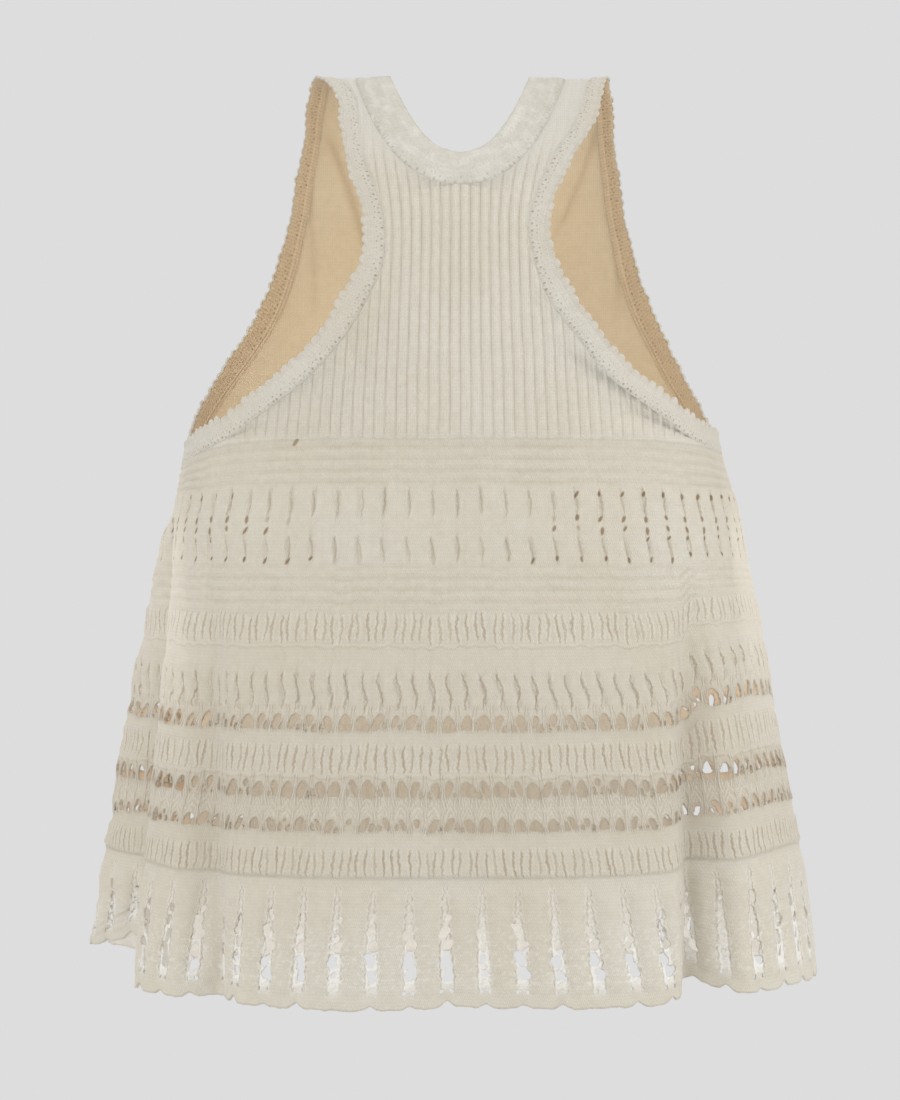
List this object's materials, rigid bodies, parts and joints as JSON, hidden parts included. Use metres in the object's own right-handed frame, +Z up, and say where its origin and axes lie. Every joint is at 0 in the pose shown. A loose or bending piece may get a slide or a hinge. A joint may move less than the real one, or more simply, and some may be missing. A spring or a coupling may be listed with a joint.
{
  "type": "sleeveless knit top",
  "caption": "Flared sleeveless top of soft cream wool knit: ribbed racer yokes on wide straps, lace-banded body, ribbed scalloped hem, pale lacy neck trim and picot armhole bands.",
  "frame": {"origin": "midway between the two shoulder straps, level with their tops, where the wearer's shoulders hold the garment up", "axes": "+Z up towards the straps, -Y towards the front panel with the higher neckline, +X to the right as the front is seen"},
  "size_m": [0.4455, 0.2998, 0.5493],
  "materials": {
    "yoke_wool": "soft brushed wool, stretched vertical rib",
    "body_wool": "soft brushed wool, bands of garter ridges, puffed slit stitches and eyelets",
    "hem_wool": "soft brushed wool, wide smooth ribs between open ladder columns, scalloped edge",
    "band_wool": "soft brushed wool, firm band with a picot edge",
    "trim_wool": "thin lacy knit, slightly see-through"
  },
  "bodies": {
    "root": {"front_yoke": "yoke_wool", "back_yoke": "yoke_wool", "front_body": "body_wool", "back_body": "body_wool", "front_hem": "hem_wool", "back_hem": "hem_wool", "armhole_band_left": "band_wool", "armhole_band_right": "band_wool", "neck_trim": "trim_wool"}
  },
  "joints": []
}
